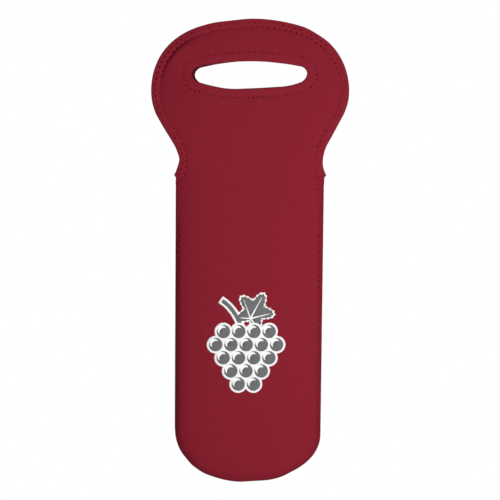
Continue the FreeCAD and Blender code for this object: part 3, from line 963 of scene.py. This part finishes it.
def tack_legs(right):
    """A bar tack: close threads over the top of one side seam."""
    legs = []
    for step in range(TACK_THREADS):
        along = TACK_LENGTH * step / (TACK_THREADS - 1) - TACK_ABOVE
        reach = TACK_REACH + TACK_UNEVEN * math.sin(TACK_BEAT * step)
        path = []
        for share in np.linspace(-1, 1, TACK_POINTS):
            spot = along + TACK_SLANT * share
            above = max(-spot, 0)
            lift = -TACK_SINK * abs(share) ** TACK_SINK_POWER - TACK_LOW + TACK_OUT * above
            point = seam_point(SEAM_LENGTH - spot if right else spot, reach * share, lift)
            path.append(point + (0, 0, above))
        normal = np.array([1.0 if right else -1.0, 0.0, 0.0])
        legs.append(tube(path, normal, TACK_RADIUS))
    return legs


# Materials

# Width of a wave texture's bands at scale 1, in metres
BAND_WIDTH = 0.314
COURSE_SHARE = 0.75
RIB_SWAY = 0.6
COURSE_SWAY = 0.9
MOTTLE = {"Scale": 140, "Detail": 4, "Roughness": 0.6}
KNIT_SHADE = 0.35
# The mottling's levels, and how bright the cloth is there
CLOTH_TONES = ((0.35, 0.975), (0.95, 1.02))
CLOTH_SPECULAR = 0.03
SHEEN_ROUGHNESS = 0.45
KNIT_RELIEF = 0.15
NODE_STEP = 200


def node(tree, kind, **settings):
    """A new node, laid out to the right of those before it."""
    made = tree.nodes.new(kind)
    made.location = (NODE_STEP * len(tree.nodes), 0)
    for key, value in settings.items():
        setattr(made, key, value)
    return made


def put(made, values):
    """Sets inputs of a node by name."""
    for key, value in values.items():
        made.inputs[key].default_value = value


def new_material(name):
    """A material with its node tree and its shader."""
    material = bpy.data.materials.new(name)
    material.use_nodes = True
    return material, material.node_tree, material.node_tree.nodes["Principled BSDF"]


def bands(tree, direction, width, sway):
    """Bands of the knit, so many millimetres wide."""
    wave = node(tree, "ShaderNodeTexWave", wave_type="BANDS", bands_direction=direction)
    put(wave, {"Scale": BAND_WIDTH / (width * MM), "Distortion": sway, "Detail": 1.0})
    return wave


def cloth_material(name, colour, knit, tilt, bump, rough, sheen, marks=()):
    """Fine cloth over foam: ribs and courses of the knit, faint mottling, and marked places of another
    colour, such as painted shade in needle holes.
    """
    material, tree, shader = new_material(name)
    link = tree.links.new
    put(shader, {
        "Roughness": rough,
        "Specular IOR Level": CLOTH_SPECULAR,
        "Sheen Weight": sheen,
        "Sheen Roughness": SHEEN_ROUGHNESS,
        "Sheen Tint": linear(SHEEN_MAROON),
    })
    flat = node(tree, "ShaderNodeUVMap", uv_map="flat")
    turned = node(tree, "ShaderNodeMapping")
    put(turned, {"Rotation": (0, 0, tilt)})
    link(flat.outputs["UV"], turned.inputs["Vector"])
    ribs = bands(tree, "X", knit, RIB_SWAY)
    courses = bands(tree, "Y", knit * COURSE_SHARE, COURSE_SWAY)
    mottle = node(tree, "ShaderNodeTexNoise")
    put(mottle, MOTTLE)
    for texture in (ribs, courses, mottle):
        link(turned.outputs["Vector"], texture.inputs["Vector"])
    loops = node(tree, "ShaderNodeMath", operation="MULTIPLY")
    link(ribs.outputs["Fac"], loops.inputs[0])
    link(courses.outputs["Fac"], loops.inputs[1])
    shade = node(tree, "ShaderNodeMath", operation="MULTIPLY_ADD")
    link(loops.outputs[0], shade.inputs[0])
    shade.inputs[1].default_value = KNIT_SHADE
    link(mottle.outputs["Fac"], shade.inputs[2])
    tones = node(tree, "ShaderNodeValToRGB")
    for stop, (position, tone) in zip(tones.color_ramp.elements, CLOTH_TONES):
        stop.position = position
        stop.color = linear([min(255, c * tone) for c in colour])
    link(shade.outputs[0], tones.inputs["Fac"])
    result = tones.outputs["Color"]
    # Each mark blends in a darker colour: painted shade in needle holes, and the partly painted lining
    for value, painted_shade in marks:
        mark = node(tree, "ShaderNodeAttribute", attribute_name=value)
        mix = node(tree, "ShaderNodeMix", data_type="RGBA", blend_type="MIX")
        link(mark.outputs["Fac"], mix.inputs["Factor"])
        link(result, mix.inputs["A"])
        mix.inputs["B"].default_value = linear(painted_shade)
        result = mix.outputs["Result"]
    link(result, shader.inputs["Base Color"])
    relief = node(tree, "ShaderNodeBump")
    put(relief, {"Strength": bump, "Distance": KNIT_RELIEF * MM})
    link(loops.outputs[0], relief.inputs["Height"])
    link(relief.outputs["Normal"], shader.inputs["Normal"])
    return material


# Painted shade in the needle holes, and the lining colour, which also stands in for the shade between the
# flaps
SHADE_MARKS = (("hole", PAINTED_HOLE_SHADE), ("lining_shade", LINING_SHADE_MAROON))
JERSEY = cloth_material("neoprene_jersey", MAROON, knit=0.6, tilt=0.0,
                        bump=0.35, rough=0.82, sheen=0.02, marks=SHADE_MARKS)
TAPE_CLOTH = cloth_material("binding_tape", TAPE_MAROON, knit=0.45, tilt=math.pi / 4,
                            bump=0.4, rough=0.78, sheen=0.02, marks=SHADE_MARKS)
THREAD = cloth_material("sewing_thread", THREAD_MAROON, knit=0.3, tilt=math.pi / 5,
                        bump=0.5, rough=0.6, sheen=0.02)
WHITE_INK, GREY_INK = (
    cloth_material(name, colour, knit=0.6, tilt=0.0, bump=0.15, rough=0.6, sheen=0.0)
    for name, colour in (("white_ink", INK_WHITE), ("grey_ink", INK_GREY)))


# A printed bunch of grapes and a vine leaf, in two inks that leave no ink under each other

GREY = 1
WHITE = 2
PRINT_X = -2.2
PRINT_Z = -245.2
PRINT_HALF = 48
KEYLINE = 1.9
GRAPE_RADIUS = 5.8
GRAPE_STEP = 13.2
GRAPE_ROWS = (4, 5, 4, 3, 2)
GRAPE_TOP = 9.2
GLINT_RADIUS = 3.9
GLINT_AT = np.array((-0.4, 0.4))
GLINT_SHIFT = np.array((2.1, -2.1))
LEAF_AT = np.array((7.0, 27.0))
LEAF_SIZE = 16.5
LEAF_BODY = 0.76
LEAF_LOBE = 0.22
LEAF_TOOTH = 0.035
LEAF_LOBES = 5
LEAF_TEETH = 35
LEAF_POINTS = 220
LEAF_TILT = math.radians(62)
VEIN_FOOT = 0.45
VEIN_TIP = 0.82
VEIN_FOOT_HALF = 0.75
VEIN_TIP_HALF = 0.25
VEIN_INSET = 0.8
STALK_FROM = np.array((-3.0, 8.0))
STALK_TURN = np.array((-8.0, 27.0))
STALK_TO = np.array((-21.0, 36.0))
STALK_HALF = 1.6
STALK_POINTS = 24
CIRCLE_EVERY = 3
INK_HEIGHT = 0.12
INK_GRID = 4.0
INK_GRID_SHIFT = (0.13, 0.17)
INK_GAP = 1e-4


def grape_spots():
    spots = []
    for row, count in enumerate(GRAPE_ROWS):
        z = GRAPE_TOP - row * GRAPE_STEP * math.sqrt(0.75)
        spots += [(GRAPE_STEP * (i - (count - 1) / 2), z) for i in range(count)]
    return np.array(spots)


def leaf_edge(grow):
    """The leaf's edge, moved out by so much."""
    turn = np.linspace(0, 2 * math.pi, LEAF_POINTS, endpoint=False)
    lobes = LEAF_LOBE * np.cos(LEAF_LOBES * turn) + LEAF_TOOTH * np.cos(LEAF_TEETH * turn)
    reach = LEAF_SIZE * (LEAF_BODY + lobes) + grow
    return LEAF_AT + np.column_stack([reach * np.cos(turn + LEAF_TILT), reach * np.sin(turn + LEAF_TILT)])


def veins():
    """Thin wedges from the foot of the leaf to its lobes."""
    foot = LEAF_AT - VEIN_FOOT * LEAF_SIZE * np.array((math.cos(LEAF_TILT), math.sin(LEAF_TILT)))
    out = []
    for lobe in range(LEAF_LOBES):
        turn = 2 * math.pi * (lobe - LEAF_LOBES // 2) / LEAF_LOBES + LEAF_TILT
        tip = LEAF_AT + VEIN_TIP * LEAF_SIZE * np.array((math.cos(turn), math.sin(turn)))
        across = left_of(unit((tip - foot)[None]))[0]
        wide, narrow = VEIN_FOOT_HALF * across, VEIN_TIP_HALF * across
        out.append(np.array([foot + wide, foot - wide, tip - narrow, tip + narrow]))
    return out


def stalk(half):
    share = np.linspace(0, 1, STALK_POINTS)[:, None]
    line = (1 - share) ** 2 * STALK_FROM + 2 * share * (1 - share) * STALK_TURN + share ** 2 * STALK_TO
    run = unit(np.gradient(line, axis=0))
    across = left_of(run) * half
    line[-1] += run[-1] * (half - STALK_HALF)
    return np.vstack([line + across, (line - across)[::-1]])


def circle(at, radius):
    return arc(at[0], at[1], radius, 0, 360)[:-1:CIRCLE_EVERY]


def print_shapes():
    """Closed outlines from the top one down, each with its ink and, for a vein, the line that it ends at."""
    spots = grape_spots()
    shapes = []
    for spot in spots:
        light = spot + GLINT_AT
        shapes.append((circle(light + GLINT_SHIFT / 2, GLINT_RADIUS), GREY, None))
        shapes.append((circle(light - GLINT_SHIFT / 2, GLINT_RADIUS), WHITE, None))
    shapes += [(circle(spot, GRAPE_RADIUS), GREY, None) for spot in spots]
    shapes += [(circle(spot, GRAPE_RADIUS + KEYLINE), WHITE, None) for spot in spots]
    shapes += [(vein, WHITE, leaf_edge(-VEIN_INSET)) for vein in veins()]
    for grow, ink in ((0, GREY), (KEYLINE, WHITE)):
        shapes += [(stalk(STALK_HALF + grow), ink, None), (leaf_edge(grow), ink, None)]
    return shapes


def ink_of(points, shapes):
    """The ink at each point, or 0."""
    inks = np.zeros(len(points), int)
    for outline, ink, limit in reversed(shapes):
        within = inside(points, outline)
        if limit is not None:
            within &= inside(points, limit)
        inks[within] = ink
    return inks


def printed():
    """The print as two thin films on the front."""
    shapes = print_shapes()
    steps = np.arange(-PRINT_HALF, PRINT_HALF, INK_GRID)
    shift_x, shift_z = INK_GRID_SHIFT
    loose = [(x + shift_x, z + shift_z) for x in steps for z in steps]
    plan, faces = filled([outline for outline, *_ in shapes], loose, FILL_ALL, INK_GAP)
    inks = ink_of(plan[faces].mean(1), shapes)
    plan = plan + (PRINT_X, PRINT_Z)
    depth = sheet_depth(*plan.T)
    for ink, name, material in ((GREY, "print_grey", GREY_INK), (WHITE, "print_white", WHITE_INK)):
        used = faces[inks == ink]
        keep, back = np.unique(used, return_inverse=True)
        used = back.reshape(used.shape).tolist()
        points = np.vstack([placed(plan, -depth - rise)[keep] for rise in (INK_HEIGHT, -INK_HEIGHT)])
        flat = np.vstack([plan[keep], plan[keep]])
        piece = make(name, points, thick(used, len(keep)), material, flat)
        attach(piece, "pouch")


# Putting the carrier together


def handle_pieces(side):
    """The skin of one side, with the tapes and the threads of its handle."""
    name = SIDE_NAMES[side]
    body = f"{name}_handle"
    edge = (handle_edge()[::-1], EDGE_TAPE_WIDTH, EDGE_TAPE_HEIGHT, EDGE_ROWS, edge_press, side, False)
    slot_line = slot_edge(0, SLOT_SHIFT[side])
    slot = (slot_line, SLOT_TAPE_WIDTH, SLOT_TAPE_HEIGHT, SLOT_ROWS, slot_press, side, True)
    sheet = skin(side)
    edge_tape = tape(f"{name}_edge_tape", *edge)
    slot_tape = tape(f"{name}_slot_tape", *slot)
    edge_thread = threads(f"{name}_edge_thread", face_legs(*edge, False) + face_legs(*edge, True))
    slot_thread = threads(f"{name}_slot_thread", face_legs(*slot, False) + face_legs(*slot, True))
    for piece, cad in ((edge_tape, "edge_binding"), (slot_tape, "slot_binding"),
                       (edge_thread, "edge_stitching"), (slot_thread, "slot_stitching")):
        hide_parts(f"{name}_{cad}")
    for piece in (sheet, edge_tape, edge_thread):
        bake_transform(piece)
    for piece in (slot_tape, slot_thread):
        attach(piece, body)


handle_pieces(FRONT)
handle_pieces(BACK)
printed()

seam_thread = threads("seam_thread", seam_legs())
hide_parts("seam_stitching")
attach(seam_thread, "pouch")
for right, node_name in ((False, "left_bar_tack"), (True, "right_bar_tack")):
    tack = threads(f"{node_name}_thread", tack_legs(right))
    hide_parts(node_name)
    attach(tack, "pouch")


# Floor, light and camera, with places and lengths in metres

FLOOR_DROP = 0.30
FLOOR_Z = TIP_Z * MM - FLOOR_DROP
FLOOR_HALF = 3.0
PAPER = (0.92, 0.92, 0.92, 1)
PAPER_ROUGHNESS = 0.95
FADE_FROM = 0.7
FADE_TO = 0.9 * FLOOR_HALF
FADE_LEAST = 0.45
WORLD_LEVEL = 0.04
CAMERA_BACK = 2.6
VIEW_WIDTH = 0.4375
VIEW_X = -0.0002
VIEW_Z = -0.1651
SENSOR_MM = 36.0
# Place, width and power of each lamp
LAMPS = {
    "key": ((0.454, -2.136, 0.103), 0.6, 10.8),
    "near": ((0.239, -0.655, -0.104), 0.14, 2.97),
    "top": ((0.2, 0.3, 1.5), 0.5, 14),
    "rear": ((-0.7, 2.0, -0.1), 0.9, 24),
}


def floor():
    mesh = bpy.data.meshes.new("floor")
    corners = [(x * FLOOR_HALF, y * FLOOR_HALF, FLOOR_Z) for x, y in ((-1, -1), (1, -1), (1, 1), (-1, 1))]
    mesh.from_pydata(corners, [], [(0, 1, 2, 3)])
    mesh.materials.append(floor_material())
    plane = add_object("floor", mesh)


def floor_material():
    """Pale paper that takes the shadow near the object and runs out to plain white."""
    material, tree, paper = new_material("floor")
    link = tree.links.new
    put(paper, {"Base Color": PAPER, "Roughness": PAPER_ROUGHNESS})
    white = node(tree, "ShaderNodeEmission")
    place = node(tree, "ShaderNodeTexCoord")
    away = node(tree, "ShaderNodeVectorMath", operation="LENGTH")
    fade = node(tree, "ShaderNodeMapRange", interpolation_type="SMOOTHSTEP")
    put(fade, {"From Min": FADE_FROM, "From Max": FADE_TO, "To Min": FADE_LEAST})
    path = node(tree, "ShaderNodeLightPath")
    seen = node(tree, "ShaderNodeMath", operation="MULTIPLY")
    mix = node(tree, "ShaderNodeMixShader")
    link(place.outputs["Object"], away.inputs[0])
    link(away.outputs["Value"], fade.inputs["Value"])
    link(fade.outputs["Result"], seen.inputs[0])
    link(path.outputs["Is Camera Ray"], seen.inputs[1])
    link(seen.outputs[0], mix.inputs["Fac"])
    link(paper.outputs["BSDF"], mix.inputs[1])
    link(white.outputs["Emission"], mix.inputs[2])
    link(mix.outputs["Shader"], tree.nodes["Material Output"].inputs["Surface"])
    return material


def area_light(name, place, width, power):
    """A round lamp that points at the middle of the view."""
    data = bpy.data.lights.new(name, "AREA")
    data.shape = "DISK"
    data.size = width
    data.energy = power
    lamp = add_object(name, data)
    lamp.location = place
    lamp.rotation_euler = (Vector((0.0, 0.0, VIEW_Z)) - Vector(place)).to_track_quat("-Z", "Y").to_euler()


def white_world():
    """White to the camera and in reflections, and a plain level of light for the rest."""
    world = bpy.data.worlds.new("studio")
    world.use_nodes = True
    tree = world.node_tree
    link = tree.links.new
    background = tree.nodes["Background"]
    put(background, {"Color": (1, 1, 1, 1)})
    path = node(tree, "ShaderNodeLightPath")
    seen = path.outputs["Is Camera Ray"]
    for ray in ("Is Glossy Ray", "Is Transmission Ray"):
        either = node(tree, "ShaderNodeMath", operation="MAXIMUM")
        link(seen, either.inputs[0])
        link(path.outputs[ray], either.inputs[1])
        seen = either.outputs[0]
    strength = node(tree, "ShaderNodeMapRange")
    put(strength, {"To Min": WORLD_LEVEL, "To Max": 1.0})
    link(seen, strength.inputs["Value"])
    link(strength.outputs["Result"], background.inputs["Strength"])
    bpy.context.scene.world = world


def camera():
    """A camera square to the front, which sees the width of the view at the middle plane."""
    data = bpy.data.cameras.new("camera")
    data.sensor_width = SENSOR_MM
    data.sensor_fit = "HORIZONTAL"
    data.lens = SENSOR_MM * CAMERA_BACK / VIEW_WIDTH
    eye = add_object("camera", data)
    eye.location = (VIEW_X, -CAMERA_BACK, VIEW_Z)
    eye.rotation_euler = (math.pi / 2, 0, 0)
    bpy.context.scene.camera = eye


floor()
white_world()
for lamp_name, lamp_values in LAMPS.items():
    area_light(lamp_name, *lamp_values)
camera()
bpy.context.scene.view_settings.view_transform = "Standard"
